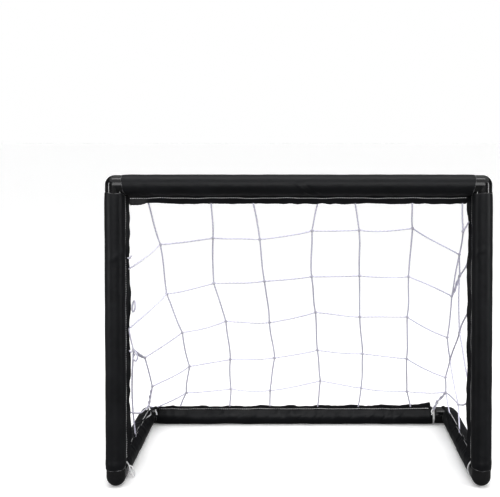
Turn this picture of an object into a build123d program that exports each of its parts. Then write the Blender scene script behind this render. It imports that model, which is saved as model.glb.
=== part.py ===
from build123d import *
from math import acos, cos, radians, sin
import os

# A small street-hockey goal: six plastic tubes pushed onto six elbows, four of them in a
# front-and-base loop and two standing up as posts, each tube in a sewn fabric sleeve whose
# seam flange carries the net. Millimetres. +X to the right, +Z up, the mouth faces -Y, and
# the origin is on the floor under the middle of the whole goal.

# Whole goal, over the sleeves
overall_width = 560.0
overall_height = 453.0
overall_depth = 320.0

# Frame tubes
tube_radius = 13.5
tube_wall = 1.6
tube_end_gap = 0.3          # a tube stops this far short of the elbow's shoulder

# Elbows
elbow_radius = 13.8
elbow_reach = 27.0          # from the corner's centre to the shoulder
elbow_wall = 2.0
spigot_length = 28.0
spigot_clearance = 0.08     # radial, inside the tube
spigot_chamfer = 1.0

# Fabric sleeves
cloth = 0.8
sleeve_radius = 14.9
sleeve_end = 17.0           # from the corner's centre to the hem, over the elbow's leg
sleeve_end_at_tie = 31.0    # the same, where a tie goes round the bare tube
seam_offset = 17.5          # from the tube's centre line to the stitched seam

# Seam flanges: how far each reaches from its tube's centre line, and which way it points.
crossbar_flange = 30.0
crossbar_flange_tilt = 20.0     # degrees back from straight down
post_flange = 27.0
post_flange_turn = 52.0         # degrees back from straight inward
rail_flange = 27.0
rail_flange_tilt = 18.0         # degrees inward from straight up
rear_flange = 25.0
rear_flange_tilt = 37.0         # degrees forward from straight up
flange_inset = 19.0             # from a corner's centre to the flange's end
tie_flange_inset = 34.5         # the same, beyond a tie, where the sleeve is shorter

# Net panels
net_thickness = 1.5
net_gap = 2.0                   # between a panel and the flange that carries it
net_side_inset = 32.0           # from the posts' centre line to the back panel's edge

# Ties: rings of cord round a bare end of a tube, with a knot. The one at the rear left is a
# knot and its tail, on the end of the rear flange.
tie_radius = 14.7
tie_bore = 13.6
tie_width = 2.2
tie_offset = 29.1               # from the corner's centre
tie_knot_radius = 1.7
corner_knot = (16.3, -12.1, 16.9)   # from the rear left corner's centre
corner_tail = (18.1, -17.2, 5.1)    # where its tail ends
corner_tail_radius = 1.0

# Places that follow from these
side_x = overall_width / 2 - sleeve_radius
front_y = -overall_depth / 2 + sleeve_radius
rear_y = -front_y
top_z = overall_height - sleeve_radius
base_z = sleeve_radius
tube_bore = tube_radius - tube_wall
spigot_radius = tube_bore - spigot_clearance
elbow_bore = spigot_radius - elbow_wall
tube_inset = elbow_reach + tube_end_gap


def rod(start, direction, length, radius):
    """A solid round bar from a point."""
    return Plane(origin=start, z_dir=direction) * Cylinder(
        radius, length, align=(Align.CENTER, Align.CENTER, Align.MIN)
    )


def tube(start, end):
    """A frame tube between two corner centres, short of each corner by the elbow."""
    run = end - start
    along = run.normalized()
    length = run.length - 2 * tube_inset
    foot = start + along * tube_inset
    return rod(foot, along, length, tube_radius) - rod(foot, along, length, tube_bore)


def elbow_leg(corner, direction):
    """One leg of an elbow: the visible barrel and its chamfered spigot."""
    spigot = Cylinder(
        spigot_radius, spigot_length, align=(Align.CENTER, Align.CENTER, Align.MIN)
    )
    spigot = chamfer(spigot.edges().group_by(Axis.Z)[-1], spigot_chamfer)
    place = Plane(origin=corner + direction * elbow_reach, z_dir=direction)
    return rod(corner, direction, elbow_reach, elbow_radius) + place * spigot


def elbow(corner, first, second):
    """A hollow right-angle elbow with a ball corner and two spigots."""
    body = elbow_leg(corner, first) + elbow_leg(corner, second)
    body += Pos(*corner) * Sphere(elbow_radius)
    bore_length = elbow_reach + spigot_length
    for direction in (first, second):
        body -= rod(corner, direction, bore_length, elbow_bore)
    return body - Pos(*corner) * Sphere(elbow_bore)


def flange_section(reach):
    """The seam's teardrop and the two layers of cloth beyond it, along local +X."""
    lean = acos(sleeve_radius / seam_offset)
    touch_x, touch_y = sleeve_radius * cos(lean), sleeve_radius * sin(lean)
    teardrop = Polygon(
        (0, 0), (touch_x, -touch_y), (seam_offset, -cloth),
        (seam_offset, cloth), (touch_x, touch_y), align=None,
    )
    layers = Rectangle(reach, 2 * cloth, align=(Align.MIN, Align.CENTER))
    return teardrop + layers


def sleeve(start, end, ends, flange_way, reach, flange_ends):
    """A cloth sleeve between two corner centres, with its seam flange."""
    run = end - start
    along = run.normalized()
    hem = start + along * ends[0]
    length = run.length - sum(ends)
    cover = rod(hem, along, length, sleeve_radius)
    seam_plane = Plane(origin=start + along * flange_ends[0], x_dir=flange_way, z_dir=along)
    cover += extrude(seam_plane * flange_section(reach), run.length - sum(flange_ends))
    return cover - rod(hem, along, length, sleeve_radius - cloth)


def panel(*corners):
    """A flat net panel through its corners."""
    face = Face(Wire.make_polygon(corners, close=True))
    return extrude(face, net_thickness / 2, both=True)


def tie(centre, along, knot_way):
    """A cord ring round a tube, with its knot."""
    foot = centre - along * (tie_width / 2)
    ring = rod(foot, along, tie_width, tie_radius) + Pos(
        *(centre + knot_way * tie_radius)
    ) * Sphere(tie_knot_radius)
    return ring - rod(foot - along * tie_width, along, 3 * tie_width, tie_bore)


def corner_tie():
    """The knot and tail at the rear left corner."""
    heel = corner("left", rear_y, base_z)
    knot = heel + Vector(*corner_knot)
    tail = heel + Vector(*corner_tail) - knot
    return Pos(*knot) * Sphere(tie_knot_radius) + rod(knot, tail, tail.length, corner_tail_radius)


def tilted(first, second, angle):
    """A direction turned from the first way towards the second."""
    return first * cos(radians(angle)) + second * sin(radians(angle))


right, back, up = Vector(1, 0, 0), Vector(0, 1, 0), Vector(0, 0, 1)
side_sign = {"left": -1, "right": 1}


def corner(side, y, z):
    """A corner centre of the frame on one side."""
    return Vector(side_sign[side] * side_x, y, z)


def frame_tubes():
    """The six tubes."""
    made = {
        "crossbar_tube": tube(corner("left", front_y, top_z), corner("right", front_y, top_z)),
        "rear_tube": tube(corner("left", rear_y, base_z), corner("right", rear_y, base_z)),
    }
    for side in side_sign:
        foot = corner(side, front_y, base_z)
        made[side + "_post_tube"] = tube(foot, corner(side, front_y, top_z))
        made[side + "_rail_tube"] = tube(foot, corner(side, rear_y, base_z))
    return made


def elbows():
    """The six elbows."""
    made = {}
    for side, sign in side_sign.items():
        inward = right * -sign
        made["top_" + side + "_elbow"] = elbow(corner(side, front_y, top_z), inward, -up)
        made[side + "_foot_elbow"] = elbow(corner(side, front_y, base_z), up, back)
        made["rear_" + side + "_elbow"] = elbow(corner(side, rear_y, base_z), inward, -back)
    return made


crossbar_way = tilted(-up, back, crossbar_flange_tilt)
rear_way = tilted(up, -back, rear_flange_tilt)


def sleeves():
    """The six sleeves."""
    made = {
        "crossbar_sleeve": sleeve(
            corner("left", front_y, top_z), corner("right", front_y, top_z),
            (sleeve_end, sleeve_end), crossbar_way, crossbar_flange,
            (flange_inset, flange_inset),
        ),
        "rear_sleeve": sleeve(
            corner("left", rear_y, base_z), corner("right", rear_y, base_z),
            (sleeve_end, sleeve_end_at_tie), rear_way, rear_flange,
            (flange_inset, tie_flange_inset),
        ),
    }
    for side, sign in side_sign.items():
        inward = right * -sign
        foot = corner(side, front_y, base_z)
        made[side + "_post_sleeve"] = sleeve(
            foot, corner(side, front_y, top_z), (sleeve_end, sleeve_end),
            tilted(inward, back, post_flange_turn), post_flange,
            (flange_inset, flange_inset),
        )
        made[side + "_rail_sleeve"] = sleeve(
            foot, corner(side, rear_y, base_z), (sleeve_end_at_tie, sleeve_end),
            tilted(up, inward, rail_flange_tilt), rail_flange,
            (tie_flange_inset, flange_inset),
        )
    return made


def nets():
    """The sloping back panel and the two side panels, each just clear of its flanges."""
    crossbar_edge = Vector(0, front_y, top_z) + crossbar_way * (crossbar_flange + net_gap)
    rear_edge = Vector(0, rear_y, base_z) + rear_way * (rear_flange + net_gap)
    half = right * (side_x - net_side_inset)
    made = {
        "net_back": panel(
            crossbar_edge - half, crossbar_edge + half, rear_edge + half, rear_edge - half
        )
    }
    for side, sign in side_sign.items():
        inward = right * -sign
        post_way = tilted(inward, back, post_flange_turn)
        post_edge = corner(side, front_y, 0) + post_way * (post_flange + net_gap)
        rail_way = tilted(up, inward, rail_flange_tilt)
        rail_edge = corner(side, 0, base_z) + rail_way * (rail_flange + net_gap)
        low_z, high_z = rail_edge.Z, top_z - crossbar_flange
        made["net_" + side] = panel(
            Vector(post_edge.X, post_edge.Y, high_z - net_side_inset / 2),
            Vector(post_edge.X, post_edge.Y, low_z),
            Vector(rail_edge.X, rear_edge.Y - net_side_inset, low_z),
        )
    return made


def ties():
    """The cords tied at the four base corners."""
    rear = corner("right", rear_y, base_z) - right * tie_offset
    made = {
        "rear_left_tie": corner_tie(),
        "rear_right_tie": tie(rear, right, tilted(up, -back, rear_flange_tilt)),
    }
    for side, sign in side_sign.items():
        inward = right * -sign
        foot = corner(side, front_y, base_z) + back * tie_offset
        made[side + "_foot_tie"] = tie(foot, back, tilted(up, inward, rail_flange_tilt))
    return made


os.makedirs("parts", exist_ok=True)
for name, shape in {**frame_tubes(), **elbows(), **sleeves(), **nets(), **ties()}.items():
    export_step(shape, os.path.join("parts", name + ".step"))
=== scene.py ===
import math

import bpy
import numpy as np
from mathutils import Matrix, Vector


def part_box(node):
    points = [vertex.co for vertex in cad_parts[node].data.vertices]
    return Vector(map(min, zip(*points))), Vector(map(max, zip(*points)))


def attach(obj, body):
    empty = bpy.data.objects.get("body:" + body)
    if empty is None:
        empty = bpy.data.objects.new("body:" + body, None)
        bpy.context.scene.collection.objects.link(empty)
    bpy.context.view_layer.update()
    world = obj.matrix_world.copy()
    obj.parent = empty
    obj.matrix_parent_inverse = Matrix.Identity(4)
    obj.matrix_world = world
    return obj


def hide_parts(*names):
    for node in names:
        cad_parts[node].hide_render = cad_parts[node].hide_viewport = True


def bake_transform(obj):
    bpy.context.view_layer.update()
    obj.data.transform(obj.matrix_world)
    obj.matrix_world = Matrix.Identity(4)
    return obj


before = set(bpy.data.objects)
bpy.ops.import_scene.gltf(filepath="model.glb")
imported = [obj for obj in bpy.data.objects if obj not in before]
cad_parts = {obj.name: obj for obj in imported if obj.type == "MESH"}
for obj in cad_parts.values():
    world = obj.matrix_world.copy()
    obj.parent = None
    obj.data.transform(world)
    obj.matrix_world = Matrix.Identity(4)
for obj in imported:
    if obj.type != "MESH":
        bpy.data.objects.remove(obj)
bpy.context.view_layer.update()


# Where the frame's centre lines run, read from the tubes

def middle(node):
    low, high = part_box(node)
    return (np.array(low) + np.array(high)) / 2


sideX, frontY = middle("right_post_tube")[:2]
topZ = middle("crossbar_tube")[2]
rearY, baseZ = middle("rear_tube")[1:]
tubeRadius = (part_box("rear_tube")[1].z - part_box("rear_tube")[0].z) / 2
rightWay, backWay, upWay = np.eye(3)


def cornerAt(sign, y, z):
    return np.array([sign * sideX, y, z])


def turned(first, second, degrees):
    # the first way turned towards the second
    angle = math.radians(degrees)
    return first * math.cos(angle) + second * math.sin(angle)


def unit(vectors):
    return vectors / np.linalg.norm(vectors, axis=-1, keepdims=True)


# Meshes from grids of points

def wrappedFaces(grid, across, along, loopRows=False):
    # grid is (pieces, rows, columns, 3) and closes round its columns. Returns its points, its
    # quads and triangles, and a UV pair for each corner: across the columns, along the rows.
    count, rows, columns = grid.shape[:3]
    index = np.arange(count * rows * columns).reshape(count, rows, columns)
    along = np.broadcast_to(along, (count, rows)).astype(float)
    if loopRows:
        index = np.concatenate([index, index[:, :1]], axis=1)
        step = along[:, -1:] - along[:, -2:-1]
        along = np.concatenate([along, along[:, -1:] + step], axis=1)
    index = np.concatenate([index, index[:, :, :1]], axis=2)
    u = np.broadcast_to(across, index.shape)
    v = np.broadcast_to(along[:, :, None], index.shape)
    uv = np.stack([u, v], axis=-1)

    def corners(values):
        ring = [values[:, :-1, :-1], values[:, :-1, 1:], values[:, 1:, 1:], values[:, 1:, :-1]]
        return np.stack(ring, axis=3)

    quads, quadUv = corners(index).reshape(-1, 4), corners(uv).reshape(-1, 4, 2)
    points = grid.reshape(-1, 3)
    if loopRows:
        return points, quads, np.zeros((0, 3), int), quadUv, np.zeros((0, 3, 2))
    poles = np.concatenate([grid[:, 0].mean(axis=1), grid[:, -1].mean(axis=1)])
    first = len(points) + np.arange(count)
    low, high = index[:, 0], index[:, -1]
    lowPole = np.broadcast_to(first[:, None], low[:, 1:].shape)
    start = np.stack([low[:, 1:], low[:, :-1], lowPole], axis=2)
    finish = np.stack([high[:, :-1], high[:, 1:], lowPole + count], axis=2)
    triangles = np.concatenate([start, finish]).reshape(-1, 3)
    ends = np.concatenate([uv[:, 0, :-1], uv[:, -1, :-1]]).reshape(-1, 1, 2)
    return np.concatenate([points, poles]), quads, triangles, quadUv, np.repeat(ends, 3, axis=1)


def makePiece(name, surfaces, material):
    # joins several closed surfaces into one smooth object, every face turned outwards
    points, quads, triangles, quadUv, triangleUv, first = [], [], [], [], [], 0
    for grid, across, along, loopRows in surfaces:
        p, q, t, qUv, tUv = wrappedFaces(grid, across, along, loopRows)
        a, b, c = (p[np.concatenate([q[:, [0, 1, 2]], q[:, [0, 2, 3]], t])][:, k] for k in range(3))
        if np.einsum("ij,ij->i", a, np.cross(b, c)).sum() < 0:
            q, t, qUv, tUv = q[:, ::-1], t[:, ::-1], qUv[:, ::-1], tUv[:, ::-1]
        points.append(p)
        quads.append(q + first)
        triangles.append(t + first)
        quadUv.append(qUv)
        triangleUv.append(tUv)
        first += len(p)
    points, quads, triangles = (np.concatenate(x) for x in (points, quads, triangles))
    corners = np.concatenate([quads.ravel(), triangles.ravel()])
    starts = np.concatenate([
        np.arange(len(quads)) * 4, quads.size + np.arange(len(triangles)) * 3])
    uv = np.concatenate([np.concatenate(x).reshape(-1, 2) for x in (quadUv, triangleUv)])
    mesh = bpy.data.meshes.new(name)
    mesh.vertices.add(len(points))
    mesh.vertices.foreach_set("co", points.astype(np.float32).ravel())
    mesh.loops.add(len(corners))
    mesh.loops.foreach_set("vertex_index", corners.astype(np.int32))
    mesh.polygons.add(len(starts))
    mesh.polygons.foreach_set("loop_start", starts.astype(np.int32))
    mesh.polygons.foreach_set("use_smooth", np.ones(len(starts), bool))
    mesh.uv_layers.new(name="UVMap").data.foreach_set("uv", uv.astype(np.float32).ravel())
    mesh.update(calc_edges=True)
    mesh.validate()
    piece = bpy.data.objects.new(name, mesh)
    bpy.context.scene.collection.objects.link(piece)
    mesh.materials.append(material)
    print("  made", name, "with", len(quads) * 2 + len(triangles), "triangles")
    return piece


def sweep(paths, radius, sides, reference, loop=False, lobes=0, lobeDepth=0.0, lobePitch=1.0):
    # A round section carried along each path. Around a path the section's radius is the given
    # one times 1 + lobeDepth cos(lobes times the angle, turning once each lobePitch).
    tangents = np.gradient(paths, axis=1)
    if loop:
        tangents = np.roll(paths, -1, axis=1) - np.roll(paths, 1, axis=1)
    tangents = unit(tangents)
    first = unit(np.cross(tangents, np.broadcast_to(reference, paths.shape)))
    second = np.cross(tangents, first)
    steps = np.linalg.norm(np.diff(paths, axis=1), axis=2)
    along = np.concatenate([np.zeros((len(paths), 1)), np.cumsum(steps, axis=1)], axis=1)
    angle = np.arange(sides) / sides * 2 * math.pi
    swell = 1 + lobeDepth * np.cos(lobes * angle - along[..., None] * 2 * math.pi / lobePitch)
    reach = (np.broadcast_to(radius, along.shape)[..., None] * swell)[..., None]
    around = np.cos(angle)[:, None] * first[:, :, None] + np.sin(angle)[:, None] * second[:, :, None]
    grid = paths[:, :, None] + reach * around
    across = np.linspace(0, 1, sides + 1) * 2 * math.pi * float(np.max(radius))
    return grid, across, along, loop


def ripples(rng, along, turns, waves, shortest, longest, mostTurns=0):
    # a sum of sines with random lengths along the piece and whole numbers of turns round it,
    # scaled so that its usual height is one
    total = 0
    for _ in range(waves):
        length = shortest * (longest / shortest) ** rng.random()
        turn = rng.integers(-mostTurns, mostTurns + 1)
        phase = rng.random() * 2 * math.pi
        total = total + np.sin(along * 2 * math.pi / length + turn * turns + phase)
    return total * math.sqrt(2 / waves)


def smoothStep(values, low, high):
    share = np.clip((values - low) / (high - low), 0, 1)
    return share * share * (3 - 2 * share)


# Materials

def newMaterial(name):
    material = bpy.data.materials.new(name)
    material.use_nodes = True
    tree = material.node_tree
    return material, tree, tree.nodes["Principled BSDF"]


def addNode(tree, kind, values=None, **settings):
    made = tree.nodes.new(kind)
    for key, value in settings.items():
        setattr(made, key, value)
    for key, value in (values or {}).items():
        if isinstance(value, bpy.types.NodeSocket):
            tree.links.new(value, made.inputs[key])
        else:
            made.inputs[key].default_value = value
    return made


def noise(tree, vector, scale, detail=3.0, rough=0.55):
    values = {"Vector": vector, "Scale": scale, "Detail": detail, "Roughness": rough}
    return addNode(tree, "ShaderNodeTexNoise", values).outputs["Fac"]


def spread(tree, value, low, high):
    values = {"Value": value, "From Min": 0.3, "From Max": 0.7, "To Min": low, "To Max": high}
    return addNode(tree, "ShaderNodeMapRange", values).outputs["Result"]


def mixColours(tree, share, first, second):
    values = {"Factor": share, "A": (*first, 1), "B": (*second, 1)}
    mix = addNode(tree, "ShaderNodeMix", None, data_type="RGBA")
    sockets = {"Factor": mix.inputs[0], "A": mix.inputs[6], "B": mix.inputs[7]}
    tree.links.new(values["Factor"], sockets["Factor"])
    sockets["A"].default_value, sockets["B"].default_value = values["A"], values["B"]
    return mix.outputs[2]


def raised(tree, height, distance, strength, below=None):
    values = {"Height": height, "Distance": distance, "Strength": strength}
    if below is not None:
        values["Normal"] = below
    return addNode(tree, "ShaderNodeBump", values).outputs["Normal"]


def bands(tree, vector, direction, scale, distortion=0.0):
    values = {"Vector": vector, "Scale": scale, "Distortion": distortion}
    return addNode(tree, "ShaderNodeTexWave", values, bands_direction=direction).outputs["Fac"]


def calculated(tree, kind, first, second):
    made = addNode(tree, "ShaderNodeMath", {0: first, 1: second}, operation=kind)
    return made.outputs[0]


clothFinish = {"black": (0.0050, 0.0054, 0.0066), "worn": (0.0098, 0.0104, 0.0124),
               "roughLow": 0.36, "roughHigh": 0.52, "yarnsPerMetre": 2200.0}


def coatedCloth():
    # black nylon with a thin coating: a plain weave from two sets of bands, fine creases from
    # noise, and a satin face that is duller where it has been handled
    material, tree, shader = newMaterial("coatedCloth")
    coords = addNode(tree, "ShaderNodeTexCoord")
    place, flat = coords.outputs["Object"], coords.outputs["UV"]
    yarns = clothFinish["yarnsPerMetre"] / (2 * math.pi) * 0.32
    weave = calculated(tree, "MAXIMUM", bands(tree, flat, "X", yarns), bands(tree, flat, "Y", yarns))
    creases = noise(tree, place, 95.0, 4.0, 0.6)
    handled = noise(tree, place, 28.0, 5.0, 0.62)
    normal = raised(tree, creases, 0.0016, 0.42)
    normal = raised(tree, weave, 0.00006, 0.5, normal)
    colour = mixColours(tree, spread(tree, handled, 0.0, 1.0), clothFinish["black"], clothFinish["worn"])
    tree.links.new(colour, shader.inputs["Base Color"])
    tree.links.new(spread(tree, handled, clothFinish["roughLow"], clothFinish["roughHigh"]),
                   shader.inputs["Roughness"])
    tree.links.new(normal, shader.inputs["Normal"])
    shader.inputs["Specular IOR Level"].default_value = 0.25
    shader.inputs["Sheen Weight"].default_value = 0.03
    shader.inputs["Sheen Roughness"].default_value = 0.4
    return material


elbowFinish = {"black": (0.004, 0.004, 0.0045), "scuffed": (0.012, 0.012, 0.013)}


def mouldedPlastic():
    # glossy black injection moulding: a faint ripple, a fine grain and a few duller scuffs
    material, tree, shader = newMaterial("mouldedPlastic")
    place = addNode(tree, "ShaderNodeTexCoord").outputs["Object"]
    scuffs = noise(tree, place, 140.0, 6.0, 0.7)
    normal = raised(tree, noise(tree, place, 55.0, 2.0), 0.0008, 0.18)
    normal = raised(tree, noise(tree, place, 900.0, 2.0), 0.00004, 0.25, normal)
    colour = mixColours(tree, spread(tree, scuffs, 0.0, 1.0), elbowFinish["black"], elbowFinish["scuffed"])
    tree.links.new(colour, shader.inputs["Base Color"])
    tree.links.new(spread(tree, scuffs, 0.08, 0.18), shader.inputs["Roughness"])
    tree.links.new(normal, shader.inputs["Normal"])
    return material


tubeFinish = {"clean": (0.74, 0.74, 0.72), "grimy": (0.62, 0.62, 0.6)}


def tubePlastic():
    # off-white extruded tube with a dull skin, a little darker where it is grimy
    material, tree, shader = newMaterial("tubePlastic")
    place = addNode(tree, "ShaderNodeTexCoord").outputs["Object"]
    grime = noise(tree, place, 60.0, 5.0, 0.65)
    colour = mixColours(tree, spread(tree, grime, 0.0, 1.0), tubeFinish["clean"], tubeFinish["grimy"])
    tree.links.new(colour, shader.inputs["Base Color"])
    tree.links.new(spread(tree, grime, 0.38, 0.5), shader.inputs["Roughness"])
    tree.links.new(raised(tree, noise(tree, place, 400.0), 0.0001, 0.3), shader.inputs["Normal"])
    return material


# light and dark colours, strands per metre of cord, and whether light passes through it
cordFinish = {
    "netCord": ((0.72, 0.71, 0.81), (0.58, 0.57, 0.67), 1400.0, True),
    "tieCord": ((0.93, 0.93, 0.94), (0.74, 0.74, 0.77), 1100.0, True),
    "sewingThread": ((0.90, 0.90, 0.91), (0.62, 0.62, 0.63), 3000.0, False),
    "frayedEdge": ((0.03, 0.03, 0.032), (0.42, 0.42, 0.43), 700.0, False),
}


def cordMaterial(name):
    # twisted cord: slanting bands for its yarns, and a slightly uneven colour along it
    light, dark, strandsPerMetre, translucent = cordFinish[name]
    material, tree, shader = newMaterial(name)
    coords = addNode(tree, "ShaderNodeTexCoord")
    slant = addNode(tree, "ShaderNodeMapping", {"Vector": coords.outputs["UV"], "Rotation": (0, 0, 0.7)})
    yarns = bands(tree, slant.outputs["Vector"], "Y", strandsPerMetre / (2 * math.pi) * 0.32)
    uneven = noise(tree, coords.outputs["Object"], 45.0, 4.0, 0.6)
    share = calculated(tree, "MULTIPLY", spread(tree, uneven, 0.2, 1.0), yarns)
    tree.links.new(mixColours(tree, share, light, dark), shader.inputs["Base Color"])
    tree.links.new(raised(tree, yarns, 0.0001, 0.5), shader.inputs["Normal"])
    tree.links.new(spread(tree, uneven, 0.5, 0.68), shader.inputs["Roughness"])
    shader.inputs["Sheen Weight"].default_value = 0.1
    if translucent:
        # light passes through thin cord, so its dark side isn't much darker than its bright one
        shader.inputs["Subsurface Weight"].default_value = 0.6
        shader.inputs["Subsurface Radius"].default_value = (1.0, 1.0, 1.0)
        shader.inputs["Subsurface Scale"].default_value = 0.002
    return material


clothBlack = coatedCloth()
plasticBlack = mouldedPlastic()
plasticWhite = tubePlastic()
cordWhite = cordMaterial("netCord")
tieWhite = cordMaterial("tieCord")
threadGrey = cordMaterial("sewingThread")
frayedEdge = cordMaterial("frayedEdge")
print("materials made")

for node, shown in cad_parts.items():
    if node.endswith("_elbow") or node.endswith("_tube"):
        shown.data.materials.clear()
        shown.data.materials.append(plasticBlack if node.endswith("_elbow") else plasticWhite)
        for polygon in shown.data.polygons:
            polygon.material_index = 0


# Sleeves: a shell of cloth round each tube, a two-layer seam flange and its stitching

sleeveCut = {
    "radius": 0.0149, "hemRadius": 0.01442, "cloth": 0.0004, "boreRadius": 0.01395,
    "seamOffset": 0.0175, "around": 132, "step": 0.0017, "hemGather": 0.00014,
    "layer": 0.00055, "stitchLength": 0.0028, "stitchPitch": 0.0033, "threadRadius": 0.0005,
    "frayRadius": 0.00024,
}


def sleeveShell(rng, run, look):
    # Outside: the radius at angle a from the seam is the sleeve's, or on the seam's teardrop
    # radius / cos(lean - a), plus low ripples, folds that fan out from the seam and fine gathers
    # at the hems. The shell turns in at each hem and comes back along the bore.
    length, radius = run["length"], sleeveCut["radius"]
    angle = np.arange(sleeveCut["around"]) / sleeveCut["around"] * 2 * math.pi
    fromSeam = np.abs((angle + math.pi) % (2 * math.pi) - math.pi)
    corner = 0.5 + 0.5 * np.cos(angle - look["cornerAngle"])
    trims = [0.0003 * ripples(rng, np.zeros(1), angle, 5, 1.0, 2.0, 6) for _ in range(2)]
    low = look["hems"][0] + look["recede"][0] * corner ** 2 + trims[0]
    high = length - look["hems"][1] - look["recede"][1] * corner ** 2 - trims[1]
    rows = int(length / sleeveCut["step"])
    share = np.linspace(0, 1, rows)[:, None]
    along = low + (high - low) * share
    seamEnds = smoothStep(along, look["flangeEnds"][0] - 0.008, look["flangeEnds"][0] + 0.003)
    seamEnds = seamEnds * smoothStep(length - along, look["flangeEnds"][1] - 0.008,
                                     look["flangeEnds"][1] + 0.003)
    lean = math.acos(radius / sleeveCut["seamOffset"])
    tear = np.where(fromSeam < lean, radius / np.cos(lean - fromSeam) - radius, 0)
    nearHem = np.minimum(along - low, high - along)
    outer = radius + tear * seamEnds - (radius - sleeveCut["hemRadius"]) * np.exp(-nearHem / 0.005)
    outer = outer + look["loose"] * ripples(rng, along, angle, 14, 0.03, 0.18, 3)
    fan = ripples(rng, along + 0.006 * ripples(rng, along, angle, 4, 0.05, 0.1), angle, 9, 0.012, 0.035, 1)
    outer = outer + look["pull"] * seamEnds * np.exp(-fromSeam / 0.7) * fan
    gathers = ripples(rng, along, angle, 5, 0.02, 0.05, 11)
    outer = outer + sleeveCut["hemGather"] * np.exp(-nearHem / 0.006) * gathers
    for at, facing, spanAlong, spanAround, depth, slant in look["creases"]:
        offset = along - at - slant * np.sin(angle - facing)
        facingShare = np.exp(-((1 - np.cos(angle - facing)) / spanAround ** 2))
        outer = outer + depth * np.exp(-(offset / spanAlong) ** 2) * facingShare
    outer = np.maximum(outer, sleeveCut["boreRadius"] + 0.00035)
    lip = np.array([0.35, 1.0])[:, None] * sleeveCut["cloth"]
    inner = np.array([0.0, 0.004, 0.02, 0.1, 0.5, 0.9, 0.98, 0.996, 1.0])[::-1, None]
    bore = np.full((len(inner), len(angle)), sleeveCut["boreRadius"] + 0.0001)
    bore[[0, -1]] = outer[[-1, 0]] - sleeveCut["cloth"]
    reach = np.concatenate([outer, np.maximum(outer[-1] - lip * 0.6, sleeveCut["boreRadius"]),
                            np.maximum(bore, sleeveCut["boreRadius"])])
    place = np.concatenate([along, high + 0.0002 * np.ones((2, 1)), low + (high - low) * inner])
    outward = np.cos(angle)[:, None] * run["way"] + np.sin(angle)[:, None] * run["side"]
    grid = run["start"] + place[..., None] * run["along"] + reach[..., None] * outward
    grid[..., 2] = np.maximum(grid[..., 2], look["floor"])
    across = np.linspace(0, 2 * math.pi, len(angle) + 1) * radius
    fray = 0.00012 * ripples(rng, np.zeros(1), angle, 6, 1.0, 2.0, 30)
    rims = np.stack([run["start"] + (edge + fray)[:, None] * run["along"]
                     + (outer[row] - 0.0001)[:, None] * outward for edge, row in ((low, 0), (high, -1))])
    return (grid[None], across, place[:, 0][None], True), rims


def flangeShape(rng, run, look):
    # how far the flange reaches, how it leans and waves from side to side, and how its layers
    # part. At a cord's anchor it is pulled out to a point that falls off as exp(-distance).
    length = run["length"]
    low, high = look["flangeEnds"][0], length - look["flangeEnds"][1]
    rows = int((high - low) / 0.0013)
    along = np.linspace(low, high, rows)
    fromEnd = np.minimum(along - low, high - along)
    corner = np.sqrt(np.clip(1 - (1 - np.clip(fromEnd / 0.003, 0, 1)) ** 2, 0.1, 1))
    leanAt, leans = np.array(look["leans"]).T
    ease = np.hanning(25) / np.hanning(25).sum()
    lean = np.convolve(np.pad(np.interp(along, leanAt, leans), 12, mode="edge"), ease, mode="valid")
    swing = lean + look["swing"] * ripples(rng, along, 0, 7, 0.05, 0.2)
    ragged = 0.00032 * ripples(rng, along, 0, 6, 0.02, 0.08)
    ragged = ragged + 0.00013 * ripples(rng, along, 0, 7, 0.002, 0.007)
    reach = sleeveCut["seamOffset"] + (look["reach"] - sleeveCut["seamOffset"]) * corner + ragged
    for at, width, change in look["pulls"]:
        reach = reach + change * np.exp(-np.abs(along - at) / width)
    part = 0.0003 + 0.00025 * (1 + ripples(rng, along, 0, 5, 0.01, 0.05))
    return along, reach, swing, np.clip(part, 0.0001, 0.0011)


def flangeLayer(run, shape, way):
    # One layer of cloth from inside the seam's ridge to the raw edge. At share f of its reach
    # it stands off the middle by half its thickness plus part f squared, and swings by f^1.4.
    along, reach, swing, part = shape
    share = np.concatenate([np.linspace(-0.16, 1, 13), [1.02], np.linspace(1, -0.16, 13)])
    face = np.concatenate([np.ones(13), [0], -np.ones(13)])
    up = np.clip(share, 0, 1)
    seam = sleeveCut["seamOffset"]
    distance = seam + (reach[:, None] - seam) * share
    half = sleeveCut["layer"] / 2
    pinch = 0.6 + 0.4 * smoothStep(up, 0.12, 0.4)
    standOff = way * (half * 1.1 * pinch + part[:, None] * up ** 2) + face * half
    standOff = standOff + swing[:, None] * up ** 1.4
    grid = (run["start"] + along[:, None, None] * run["along"]
            + distance[..., None] * run["way"] + standOff[..., None] * run["side"])
    across = np.concatenate([share, share[:1]]) * 0.01
    return grid[None], across, along[None], False


def stitches(run, shape, look):
    # Short arched lengths of thread on both faces of the flange, in a row just outside the
    # ridge: each rises by a thread's radius times the cosine along it and dives at both ends.
    along, reach, swing, part = shape
    pitch, radius = sleeveCut["stitchPitch"], sleeveCut["threadRadius"] * look["thread"]
    centres = np.arange(along[0] + 0.003, along[-1] - 0.003, pitch)
    u = np.linspace(-0.5, 0.5, 6)
    place = centres[:, None] + u * sleeveCut["stitchLength"]
    seam = sleeveCut["seamOffset"]
    share = (look["stitchAt"] - seam) / (look["reach"] - seam)
    distance = look["stitchAt"] + 0.0004 * np.sin(place * 70) + 0.00025 * np.sin(place * 171)
    drift = np.interp(place, along, swing) * share ** 1.4
    lift = sleeveCut["layer"] * 0.95 + radius * (np.cos(u * math.pi) * 1.5 - 0.7)
    both = []
    for way in (-1, 1):
        offset = drift + way * (lift + np.interp(place, along, part) * share ** 2)
        both.append(run["start"] + place[..., None] * run["along"]
                    + distance[..., None] * run["way"] + offset[..., None] * run["side"])
    thickness = radius * np.array([0.55, 0.95, 1, 1, 0.95, 0.55])
    return sweep(np.concatenate(both), thickness, 6, run["way"])


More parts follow.
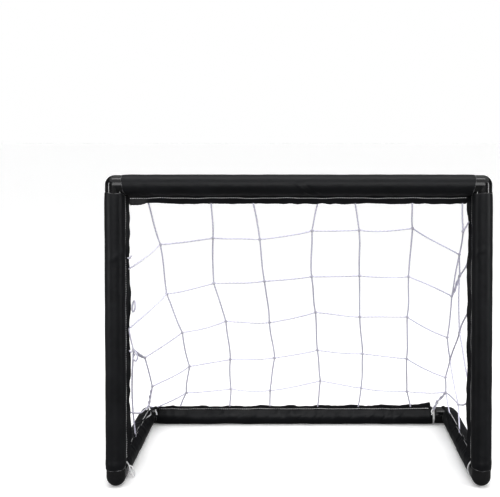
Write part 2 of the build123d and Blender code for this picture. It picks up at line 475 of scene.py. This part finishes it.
def makeRun(start, end, way):
    start, end = np.array(start), np.array(end)
    length = np.linalg.norm(end - start)
    along = (end - start) / length
    return {"start": start, "length": length, "along": along, "way": way, "side": np.cross(along, way)}


def angleOf(run, direction):
    # the angle round the sleeve, from its seam, that faces a direction
    return math.atan2(float(direction @ run["side"]), float(direction @ run["way"]))


sleeveLooks = {
    "crossbar": {"reach": 0.0298, "tilt": 20, "swing": 0.0007, "stitchAt": 0.0206,
                 "loose": 0.00006, "pull": 0.00016, "seed": 11},
    "rear": {"reach": 0.0258, "tilt": 37, "swing": 0.0008, "stitchAt": 0.0192,
             "loose": 0.00022, "pull": 0.00055, "seed": 12},
    "post": {"reach": 0.027, "tilt": 52, "swing": 0.0011, "stitchAt": 0.0194,
             "loose": 0.00007, "pull": 0.0002, "seed": 13},
    "rail": {"reach": 0.0255, "tilt": 18, "swing": 0.0012, "stitchAt": 0.0192,
             "loose": 0.00014, "pull": 0.00028, "seed": 17},
}
hemPlace = {"corner": 0.0112, "recede": 0.0048, "atTie": 0.0312, "flangeAtCorner": 0.019,
            "flangeAtTie": 0.0345}


def addSleeve(name, node, body, run, look):
    rng = np.random.default_rng(look["seed"])
    look = {"floor": -1.0, "creases": (), "pulls": (), "leans": ((0, 0), (1, 0)), "thread": 1.0,
            "recede": (hemPlace["recede"],) * 2, **look}
    shell, rims = sleeveShell(rng, run, look)
    shape = flangeShape(rng, run, look)
    layers = [flangeLayer(run, shape, way) for way in (-1, 1)]
    cloth = makePiece(name + "Sleeve", [shell] + layers, clothBlack)
    rims[..., 2] = np.maximum(rims[..., 2], sleeveCut["frayRadius"])
    frays = sweep(rims, sleeveCut["frayRadius"], 6, run["along"], loop=True)
    thread = makePiece(name + "Stitching", [stitches(run, shape, look)], threadGrey)
    edges = makePiece(name + "Hems", [frays], frayedEdge)
    for piece in (cloth, thread, edges):
        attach(piece, body)
    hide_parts(node)


crossbarRun = makeRun(cornerAt(-1, frontY, topZ), cornerAt(1, frontY, topZ),
                      turned(-upWay, backWay, sleeveLooks["crossbar"]["tilt"]))
rearRun = makeRun(cornerAt(-1, rearY, baseZ), cornerAt(1, rearY, baseZ),
                  turned(upWay, -backWay, sleeveLooks["rear"]["tilt"]))
# creases: place along, angle facing, width along, spread round, height, slant
frontOfBar = angleOf(crossbarRun, -backWay)
addSleeve("crossbar", "crossbar_sleeve", "crossbar", crossbarRun, {
    "hems": (hemPlace["corner"],) * 2, "flangeEnds": (hemPlace["flangeAtCorner"],) * 2,
    "cornerAngle": angleOf(crossbarRun, -upWay),
    "creases": ((0.217, frontOfBar + 0.5, 0.0022, 0.7, 0.0007, 0.002),
                (0.272, frontOfBar + 0.45, 0.003, 0.7, 0.0008, 0.016),
                (0.284, frontOfBar + 0.45, 0.003, 0.7, -0.0006, 0.016),
                (0.040, frontOfBar + 0.9, 0.004, 0.6, 0.0008, 0.010),
                (0.052, frontOfBar + 0.9, 0.003, 0.6, -0.0007, 0.010)),
    "pulls": ((0.045, 0.012, -0.0028),),
    "leans": ((0, -0.002), (0.028, -0.005), (0.042, -0.006), (0.05, 0.001), (1, 0)),
    **sleeveLooks["crossbar"]})
frontOfRear = angleOf(rearRun, unit(upWay * 0.3 - backWay))
rearFolds = tuple((0.07 + 0.0245 * k + 0.006 * math.sin(7.3 * k), frontOfRear, 0.0032, 0.75,
                   (0.0007 if k % 2 else -0.0006) * (0.35 + 0.04 * k + 0.3 * math.sin(2.1 * k) ** 2), -0.016)
                  for k in range(16))
addSleeve("rear", "rear_sleeve", "rear_bar", rearRun, {
    "hems": (hemPlace["corner"], hemPlace["atTie"]), "recede": (hemPlace["recede"], 0.0),
    "flangeEnds": (hemPlace["flangeAtCorner"], hemPlace["flangeAtTie"]),
    "cornerAngle": angleOf(rearRun, -backWay), "floor": 0.0001, "creases": rearFolds,
    "leans": ((0, 0.003), (0.15, 0.001), (0.42, -0.001), (0.475, -0.002), (0.492, -0.007), (1, -0.007)),
    "pulls": ((0.497, 0.008, 0.0022),),
    **sleeveLooks["rear"]})
for side, sign, seedShift in (("left", -1, 0), ("right", 1, 2)):
    inward = -sign * rightWay
    foot, head, heel = (cornerAt(sign, frontY, baseZ), cornerAt(sign, frontY, topZ),
                        cornerAt(sign, rearY, baseZ))
    postRun = makeRun(foot, head, turned(inward, backWay, sleeveLooks["post"]["tilt"]))
    railRun = makeRun(foot, heel, turned(upWay, inward, sleeveLooks["rail"]["tilt"]))
    frontOfPost = angleOf(postRun, -backWay)
    addSleeve(side + "Post", side + "_post_sleeve", side + "_side", postRun, {
        **sleeveLooks["post"], "seed": sleeveLooks["post"]["seed"] + seedShift,
        "thread": 0.85 if side == "left" else 0.55,
        "hems": (hemPlace["corner"],) * 2, "flangeEnds": (hemPlace["flangeAtCorner"], 0.014),
        "cornerAngle": angleOf(postRun, unit(inward + backWay)),
        "creases": ((0.325, frontOfPost - sign * 0.7, 0.005, 0.7, 0.0006, 0.01),
                    (0.020, frontOfPost, 0.004, 1.4, 0.0005, 0.0)),
        "pulls": ((0.30, 0.006, 0.0015), (0.21, 0.008, 0.0012), (0.12, 0.01, 0.0012))})
    inSide = angleOf(railRun, unit(inward + 0.3 * upWay))
    railFolds = tuple((0.056 + 0.043 * k + 0.009 * math.sin(5.1 * k + sign), inSide + 0.4 * math.sin(3 * k),
                       0.0055, 0.8, 0.00042 * (-1) ** k, sign * 0.012) for k in range(5))
    addSleeve(side + "Rail", side + "_rail_sleeve", side + "_side", railRun, {
        **sleeveLooks["rail"], "seed": sleeveLooks["rail"]["seed"] + seedShift,
        "hems": (hemPlace["atTie"], hemPlace["corner"]), "recede": (0.0, hemPlace["recede"]),
        "flangeEnds": (hemPlace["flangeAtTie"], hemPlace["flangeAtCorner"]),
        "cornerAngle": angleOf(railRun, inward), "floor": 0.0001, "creases": railFolds,
        "pulls": ((0.112, 0.006, 0.004), (0.13, 0.005, 0.004), (0.232, 0.007, 0.004), (0.262, 0.006, 0.003)),
        "leans": ((0, 0), (0.16, -sign * 0.001), (0.262, -sign * 0.008), (1, -sign * 0.008))})
print("sleeves made")


# Mould lines: the thin ridge round the outside of each elbow, where the two halves of its
# mould met

mouldLine = {"bead": 0.0003, "sink": 0.00016, "legReach": 0.0105}


def elbowLine(corner, first, second, reaches):
    # straight along the outside of one leg, a quarter circle round the ball, and out along the
    # other leg, in the plane of the bend
    radius = (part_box("top_left_elbow")[1].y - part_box("top_left_elbow")[0].y) / 2 - mouldLine["sink"]
    turn = np.linspace(0, math.pi / 2, 24)[:, None]
    start = corner - second * radius + first * np.linspace(reaches[0], 0.0005, 12)[:, None]
    ball = corner - radius * (np.cos(turn) * second + np.sin(turn) * first)
    finish = corner - first * radius + second * np.linspace(0.0005, reaches[1], 12)[:, None]
    return np.concatenate([start, ball, finish])


def addMouldLines():
    atTie = 0.0265
    for body, names in (("crossbar", ("left", "right")), ("rear_bar", ("left", "right")),
                        ("left_side", ("left",)), ("right_side", ("right",))):
        paths = []
        for side in names:
            sign = -1 if side == "left" else 1
            inward, short = -sign * rightWay, mouldLine["legReach"]
            if body == "crossbar":
                paths.append(elbowLine(cornerAt(sign, frontY, topZ), inward, -upWay, (short, short)))
            elif body == "rear_bar":
                reach = short if side == "left" else atTie
                paths.append(elbowLine(cornerAt(sign, rearY, baseZ), inward, -backWay, (reach, short)))
            else:
                paths.append(elbowLine(cornerAt(sign, frontY, baseZ), backWay, upWay, (atTie, short)))
        ridge = sweep(np.array(paths), mouldLine["bead"], 8, np.array([0.31, 0.23, 0.17]))
        piece = makePiece(body.replace("_s", "S").replace("_b", "B") + "MouldLines", [ridge], plasticBlack)
        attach(piece, body)


addMouldLines()
print("mould lines made")


# The net: columns from the crossbar's flange to the rear flange, rows across them, and a few
# longer cords to the posts and rails that make the two sides

tiePlan = {"radius": 0.0007, "pitch": 0.0009, "offset": 0.0291, "knot": 0.0017}
netPlan = {
    # each column from the left: where its top and foot are along the flanges, in mm, and its
    # five knots, as the place across in mm and the share of the way down the slope
    "columns": {
        "A": (-218, -206, (-208, 0.176), (-207, 0.402), (-189, 0.593), (-183, 0.773), (-193, 0.920)),
        "B": (-127, -120, (-128, 0.148), (-132, 0.352), (-117, 0.536), (-114, 0.734), (-116, 0.898)),
        "C": (-66, -50, (-58, 0.154), (-53, 0.342), (-47, 0.543), (-40, 0.727), (-49, 0.907)),
        "D": (28, 33, (20, 0.117), (20, 0.321), (27, 0.492), (31, 0.685), (37, 0.852)),
        "E": (82, 104, (90, 0.114), (94, 0.317), (98, 0.515), (106, 0.704), (107, 0.893)),
        "F": (165, 195, (169, 0.106), (170, 0.321), (174, 0.515), (180, 0.731), (186, 0.912)),
        "G": (238, 238, (244, 0.221), (241, 0.413), (243, 0.619), (249, 0.834), (253, 0.917)),
    },
    # the knots and anchors of the two sides, in mm
    "sides": {
        "l2": (-242, -127, 194), "l3": (-250, 21, 147), "l4": (-247, 79, 84), "l5": (-259, 112, 40),
        "r0": (240, -130, 369), "r1": (249, -51, 292), "r2": (251, -39, 201), "r3": (252, 56, 135),
        "r4": (258, 9, 74), "r5": (241, 126, 45),
    },
    "posts": {"l": (313, 225, 102), "r": (329, 251, 149, 118, 383)},
    "rails": {"l": (-33,), "r": (-15, 85)},
    # loose ends and loops that hang from the left side's knots, in mm
    "loose": (
        ((-244, -128, 333), (-247, -131, 330), (-250, -133, 331)),
        ((-241, -128, 268), (-239, -129, 262), (-240, -129, 254), (-243, -128, 251),
         (-243.5, -128, 259), (-241, -128, 268)),
        ((-242, -127, 194), (-238, -129, 190), (-236, -129, 183), (-239, -128, 178),
         (-243, -128, 183), (-240, -128, 189)),
        ((-242, -127, 194), (-246, -129, 192), (-248, -130, 195)),
    ),
    "cordRadius": 0.00122, "sag": 0.014, "wander": 0.009, "knotSize": 0.0017, "seed": 5,
}
crossbarEdge = crossbarRun["start"] * [0, 1, 1] + crossbarRun["way"] * 0.0285
rearEdge = rearRun["start"] * [0, 1, 1] + rearRun["way"] * 0.0245
netNormal = unit(np.cross(rightWay, rearEdge - crossbarEdge))


tieLooks = {
    # cords in mm from the knot, with right the way to the middle of the goal
    # The rear left one has no turn: it is a knot on the flange's end, placed from the corner's
    # centre, and a cord that falls from the net's lowest knot over the rail.
    "leftRear": {"turns": 0, "corner": (16.3, -12.1, 16.9), "radius": 0.0013,
                 "tails": (((0, 0, 0), (-1, -2, -5), (1.2, -4, -8.5), (2.2, -5.2, -11.8)),
                           ((-10.2, -21, 8), (-6.5, -27, 3.5), (-4.5, -36, -1.5), (-6.5, -50, -0.6),
                            (-10.5, -66, 0.2), (-11.5, -76, 0.4)),
                           ((-10.2, -21, 8), (-12, -22, 5.5), (-12.6, -24, 2.2)))},
    "rightRear": {"turns": 1.06, "radius": 0.00095,
                  "tails": (((0, 0, 0), (-3, -1, 6), (-6, -3, 11), (-9, -6, 15)),
                            ((0, 0, 0), (-1.5, -2, 5), (-5, -4, 10.5), (-9, -6, 15)),
                            ((0, 0, 0), (2.6, -3, 1), (4.2, -5, -2), (3.0, -6, -4.5), (4.6, -7, -7)))},
    "leftFoot": {"turns": 1.15, "radius": 0.00095, "tails": ()},
    "rightFoot": {"turns": 1.15, "radius": 0.00095, "tails": ()},
}


def netKnots():
    # where each knot and each anchor on a flange is, by name
    knots, anchors = {}, set()
    for column, (top, foot, *rows) in netPlan["columns"].items():
        knots[column + "0"] = crossbarEdge + rightWay * top / 1000
        knots[column + "6"] = rearEdge + rightWay * foot / 1000
        anchors |= {column + "0", column + "6"}
        for row, (across, share) in enumerate(rows, 1):
            slope = crossbarEdge + (rearEdge - crossbarEdge) * share
            knots[column + str(row)] = slope + rightWay * across / 1000
    for name, place in netPlan["sides"].items():
        knots[name] = np.array(place) / 1000
    for letter, sign in (("l", -1), ("r", 1)):
        inward = -sign * rightWay
        flange = cornerAt(sign, frontY, 0) + turned(inward, backWay, sleeveLooks["post"]["tilt"]) * 0.0255
        rail = cornerAt(sign, 0, baseZ) + turned(upWay, inward, 24) * 0.0225
        more = {letter + "Post" + str(k): flange + upWay * z / 1000
                for k, z in enumerate(netPlan["posts"][letter])}
        more |= {letter + "Rail" + str(k): rail + backWay * y / 1000
                 for k, y in enumerate(netPlan["rails"][letter])}
        tie = cornerAt(sign, rearY, baseZ) + inward * tiePlan["offset"]
        more[letter + "Tie"] = tie + turned(upWay, -backWay, 37) * 0.0158
        knots |= more
        anchors |= set(more)
    knots["lTie"] = cornerAt(-1, rearY, baseZ) + np.array(tieLooks["leftRear"]["corner"]) / 1000
    return knots, anchors


def netBars():
    # every cord between two knots, with how many cords lie together there
    columns = list(netPlan["columns"])
    bars = [(c + str(r), c + str(r + 1), 1) for c in columns[:-1] for r in range(6)]
    bars += [("G" + str(r), "G" + str(r + 1), 1) for r in (1, 2, 4)]
    bars += [(a + str(r), b + str(r), 1) for r in range(1, 6) for a, b in zip(columns, columns[1:])]
    bars += [("A1", "lPost0", 1), ("A2", "lPost1", 1), ("lPost1", "l2", 1), ("A3", "l3", 1),
             ("l3", "l2", 2), ("A4", "l4", 1), ("l4", "l5", 2), ("A5", "lTie", 1), ("l5", "lTie", 1),
             ("l2", "lRail0", 1), ("l5", "lPost2", 1), ("l3", "l4", 1)]
    bars += [("r0", "G0", 1), ("r0", "rPost4", 1), ("r0", "G1", 1),
             ("G1", "r1", 1), ("r1", "rPost0", 1), ("r1", "G2", 2), ("r1", "r2", 1), ("r2", "rPost1", 1),
             ("r2", "rPost2", 1), ("r2", "r3", 1), ("G3", "r3", 1), ("r3", "G4", 1), ("r3", "r4", 1),
             ("r4", "rPost3", 1), ("r4", "rRail0", 1), ("G5", "r4", 1), ("G5", "rRail1", 1),
             ("G5", "r5", 2), ("r5", "rTie", 2)]
    return bars


def barPaths(starts, ends, strands, rng, rings=56):
    # A cord between two knots: the straight line, less a parabola of sag, plus two low sines in
    # random directions across it. Cords that lie together wind round each other.
    u = np.linspace(0, 1, rings)[None, :, None]
    line = starts[:, None] + (ends - starts)[:, None] * u
    length = np.linalg.norm(ends - starts, axis=1)[:, None, None]
    level = np.linalg.norm((ends - starts)[:, :2], axis=1)[:, None, None] / length
    slack = rng.uniform(0.2, 1.6, (len(starts), 1, 1))
    line = line - upWay * 4 * u * (1 - u) * length * netPlan["sag"] * level * slack
    for waves in (1, 2):
        lean = rng.normal(0, 1, (len(starts), 1, 3)) / waves ** 1.4
        line = line + lean * np.sin(waves * math.pi * u) * length * netPlan["wander"]
    way = unit(ends - starts)
    first = unit(np.cross(way, netNormal + 0.31 * rightWay))[:, None]
    second = np.cross(way[:, None], first)
    turn = u * length * 2 * math.pi / 0.030
    double = (strands == 2)[:, None, None] * netPlan["cordRadius"] * 1.02
    offset = double * np.sin(np.pi * u) ** 0.3 * (np.cos(turn) * first + np.sin(turn) * second)
    again = strands == 2
    owner = np.concatenate([np.arange(len(starts)), np.where(again)[0]])
    return np.concatenate([line + offset, (line - offset)[again]]), owner


def knotLoops(centres, size, rng):
    # each knot is a trefoil, the path (sin t + 2 sin 2t, cos t - 2 cos 2t, -sin 3t), flattened
    # a little and turned at random in the plane of the net
    t = np.linspace(0, 2 * math.pi, 30, endpoint=False)
    flat = np.stack([np.sin(t) + 2 * np.sin(2 * t), np.cos(t) - 2 * np.cos(2 * t),
                     -1.3 * np.sin(3 * t)], 1) / 3
    angle = rng.random(len(centres)) * 2 * math.pi
    slope = unit(rearEdge - crossbarEdge)
    first = np.cos(angle)[:, None] * rightWay + np.sin(angle)[:, None] * slope
    axes = np.stack([first, np.cross(np.broadcast_to(netNormal, first.shape), first),
                     np.broadcast_to(netNormal, first.shape)], 1)
    paths = centres[:, None] + size * np.einsum("tk,nkj->ntj", flat, axes)
    return sweep(paths, netPlan["cordRadius"] * 0.92, 6, netNormal, loop=True)


def looseCord(points, radius, loop=False):
    # a short length of cord on a smooth curve: a Catmull-Rom spline through its points
    points = np.array(points, float)
    last = len(points) - (0 if loop else 1)
    padded = np.concatenate([points[-1:], points, points[:2]]) if loop else np.concatenate(
        [2 * points[:1] - points[1:2], points, 2 * points[-1:] - points[-2:-1]])
    u = np.linspace(0, last, last * 10, endpoint=False)
    k, f = u.astype(int), (u % 1)[:, None]
    a, b, c, d = (padded[k + n] for n in range(4))
    square = (2 * a - 5 * b + 4 * c - d) * f ** 2
    cube = (3 * b - a - 3 * c + d) * f ** 3
    path = 0.5 * (2 * b + (c - a) * f + square + cube)
    return sweep(path[None], radius, 9, np.array([0.31, 0.52, 0.8]), loop=loop,
                 lobes=0 if loop else 3, lobeDepth=0.12, lobePitch=0.0066)


netSplit = {"topBlend": (0.345, 0.410), "rearBlend": (0.030, 0.126)}


def addNet():
    rng = np.random.default_rng(netPlan["seed"] + 1)
    knots, anchors = netKnots()
    bars = netBars()
    starts = np.array([knots[a] for a, b, strands in bars])
    ends = np.array([knots[b] for a, b, strands in bars])
    strands = np.array([bar[2] for bar in bars])
    paths, owner = barPaths(starts, ends, strands, rng)
    highest, furthest = np.maximum(starts[:, 2], ends[:, 2]), np.maximum(starts[:, 1], ends[:, 1])
    onRight = np.array([a[0] == "r" or b[0] == "r" for a, b, strands in bars])
    zone = np.where(highest > netSplit["topBlend"][0], "Top",
                    np.where(furthest > netSplit["rearBlend"][0], "Foot", "Middle"))
    tied = [name for name in knots if name not in anchors]
    centres = np.array([knots[name] for name in tied])
    tiedRight = np.array([name[0] == "r" for name in tied])
    tiedZone = np.where(centres[:, 2] > netSplit["topBlend"][0], "Top",
                        np.where(centres[:, 1] > netSplit["rearBlend"][0], "Foot", "Middle"))
    made = {}
    for part, right in (("Top", False), ("Middle", False), ("Foot", False), ("Middle", True), ("Foot", True)):
        chosen = (zone == part) & ((onRight == right) | (part == "Top"))
        chosenKnots = (tiedZone == part) & ((tiedRight == right) | (part == "Top"))
        surfaces = [sweep(paths[chosen[owner]], netPlan["cordRadius"], 9, netNormal + 0.31 * rightWay,
                          lobes=3, lobeDepth=0.13, lobePitch=0.0066)]
        if chosenKnots.any():
            surfaces.append(knotLoops(centres[chosenKnots], netPlan["knotSize"], rng))
        if part == "Middle" and not right:
            surfaces += [looseCord(np.array(points) / 1000, netPlan["cordRadius"])
                         for points in netPlan["loose"]]
        name = "net" + ("Right" if right else "") + part
        made[name] = makePiece(name, surfaces, cordWhite)
    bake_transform(made["netTop"])
    for name, side in (("netFoot", "left_side"), ("netRightFoot", "right_side")):
        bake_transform(made[name])
    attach(made["netMiddle"], "left_side")
    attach(made["netRightMiddle"], "right_side")
    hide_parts("net_back")
    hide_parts("net_left")
    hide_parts("net_right")


addNet()
print("net made")


# Ties: a turn or two of cord round the bare tube, a knot, and its short tails

def tieTurns(centre, along, way, turns):
    # a helix round the tube, one cord's radius off it
    u = np.linspace(0, 1, 110)
    angle = (u - 0.5) * turns * 2 * math.pi
    reach = tubeRadius + tiePlan["radius"] * 1.15
    side = np.cross(along, way)
    path = (centre + ((u - 0.5) * turns * tiePlan["pitch"])[:, None] * along
            + reach * (np.cos(angle)[:, None] * way + np.sin(angle)[:, None] * side))
    path[:, 2] = np.maximum(path[:, 2], tiePlan["radius"] * 1.15)
    return sweep(path[None], tiePlan["radius"], 9, along, lobes=3, lobeDepth=0.12, lobePitch=0.0066)


# the loop of cord that stands off the left foot's tie, in mm from the tube's centre line
footLoop = ((14.6, 1, 3.5), (17.2, 2, 2), (20.4, 3, -5), (21.4, 3, -10), (19.4, 3, -12.6),
            (16.4, 2, -9), (15.2, 1, -2))


def addTie(name, node, body, centre, along, way, rng):
    look = tieLooks[name]
    knot = centre + way * (tubeRadius + 2.0 * tiePlan["radius"])
    if "corner" in look:
        knot = cornerAt(-1, rearY, baseZ) + np.array(look["corner"]) / 1000
    surfaces = [knotLoops(knot[None], tiePlan["knot"], rng)]
    if look["turns"]:
        surfaces.append(tieTurns(centre, along, way, look["turns"]))
    mirror = np.array([1 if name.startswith("left") else -1, 1, 1]) / 1000
    surfaces += [looseCord(knot + np.array(steps) * mirror, look["radius"]) for steps in look["tails"]]
    if name == "leftFoot":
        surfaces.append(looseCord(centre + np.array(footLoop) * mirror, look["radius"], loop=True))
    piece = makePiece(name + "Tie", surfaces, tieWhite)
    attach(piece, body)
    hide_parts(node)


inwardOf = {"left": rightWay, "right": -rightWay}
tieRng = np.random.default_rng(31)
for side, sign in (("left", -1), ("right", 1)):
    rearTie = cornerAt(sign, rearY, baseZ) + inwardOf[side] * tiePlan["offset"]
    footTie = cornerAt(sign, frontY, baseZ) + backWay * tiePlan["offset"]
    addTie(side + "Rear", "rear_" + side + "_tie", "rear_bar", rearTie, inwardOf[side],
           turned(upWay, -backWay, 37), tieRng)
    addTie(side + "Foot", side + "_foot_tie", side + "_side", footTie, backWay,
           turned(upWay, -inwardOf[side], 70), tieRng)
print("ties made")


# Floor, light and camera

stage = {"floorSize": 60.0, "floorColour": (0.99, 0.99, 0.99), "floorRough": 0.6,
         "backdrop": 1.0, "fill": 0.08, "floorBounce": 0.22, "floorGlow": 0.14}


def addFloor():
    half = stage["floorSize"] / 2
    corners = [(-half, -half, 0), (half, -half, 0), (half, half, 0), (-half, half, 0)]
    mesh = bpy.data.meshes.new("floor")
    mesh.from_pydata(corners, [], [(0, 1, 2, 3)])
    floor = bpy.data.objects.new("floor", mesh)
    bpy.context.scene.collection.objects.link(floor)
    material, tree, shader = newMaterial("paleFloor")
    bounce = tuple(stage["floorBounce"] * c for c in stage["floorColour"])
    seen = addNode(tree, "ShaderNodeLightPath").outputs["Is Camera Ray"]
    tree.links.new(mixColours(tree, seen, bounce, stage["floorColour"]), shader.inputs["Base Color"])
    shader.inputs["Emission Color"].default_value = (1, 1, 1, 1)
    tree.links.new(calculated(tree, "MULTIPLY", seen, stage["floorGlow"]), shader.inputs["Emission Strength"])
    shader.inputs["Roughness"].default_value = stage["floorRough"]
    shader.inputs["Specular IOR Level"].default_value = 0.1
    mesh.materials.append(material)


def aimed(name, light, place, target):
    lamp = bpy.data.objects.new(name, light)
    lamp.location = place
    lamp.rotation_mode = "QUATERNION"
    lamp.rotation_quaternion = (Vector(target) - Vector(place)).to_track_quat("-Z", "Y")
    bpy.context.scene.collection.objects.link(lamp)


def addSoftbox(name, place, target, width, height, watts):
    light = bpy.data.lights.new(name, "AREA")
    light.shape = "RECTANGLE"
    light.size, light.size_y, light.energy = width, height, watts
    aimed(name, light, place, target)


def addSky(name, place, strength, softness):
    light = bpy.data.lights.new(name, "SUN")
    light.energy, light.angle = strength, math.radians(softness)
    aimed(name, light, place, (0, 0, 0))


def addWorld():
    # the camera sees a white backdrop, while the goal is lit by a dimmer one
    world = bpy.data.worlds.new("studio")
    bpy.context.scene.world = world
    world.use_nodes = True
    tree = world.node_tree
    background = tree.nodes["Background"]
    background.inputs["Color"].default_value = (1, 1, 1, 1)
    seen = addNode(tree, "ShaderNodeLightPath").outputs["Is Camera Ray"]
    values = {"Value": seen, "To Min": stage["fill"], "To Max": stage["backdrop"]}
    strength = addNode(tree, "ShaderNodeMapRange", values).outputs["Result"]
    tree.links.new(strength, background.inputs["Strength"])


addFloor()
addWorld()
addSky("above", (0.1, -0.15, 1.0), 2.3, 110)
addSky("front", (0.0, -1.0, 0.14), 2.3, 50)
addSoftbox("overhead", (0.0, -0.30, 1.6), (0, -0.1, 0.3), 1.6, 0.35, 8)
addSoftbox("leftStrip", (-1.5, -0.7, 0.4), (0, 0, 0.2), 0.3, 1.2, 11)
addSoftbox("rightStrip", (1.5, -0.7, 0.4), (0, 0, 0.2), 0.3, 1.2, 11)
bpy.context.scene.view_settings.view_transform = "Standard"
bpy.context.scene.view_settings.gamma = 0.82

# The camera stands straight in front, a little above the crossbar. It looks down slightly, and
# is shifted so that the goal lies low and to the right.
viewPoint = {"place": (0.0, -1.505, 0.520), "pitch": 1.5, "lens": 68.004, "shift": (-0.0972, -0.19154)}


def addCamera():
    camera = bpy.data.cameras.new("camera")
    holder = bpy.data.objects.new("camera", camera)
    bpy.context.scene.collection.objects.link(holder)
    bpy.context.scene.camera = holder
    camera.sensor_width = 36.0
    camera.lens = viewPoint["lens"]
    camera.shift_x, camera.shift_y = viewPoint["shift"]
    camera.clip_start, camera.clip_end = 0.01, 100.0
    holder.location = viewPoint["place"]
    holder.rotation_euler = (math.radians(90 - viewPoint["pitch"]), 0, 0)
    print("camera shift", round(camera.shift_x, 3), round(camera.shift_y, 3))


addCamera()
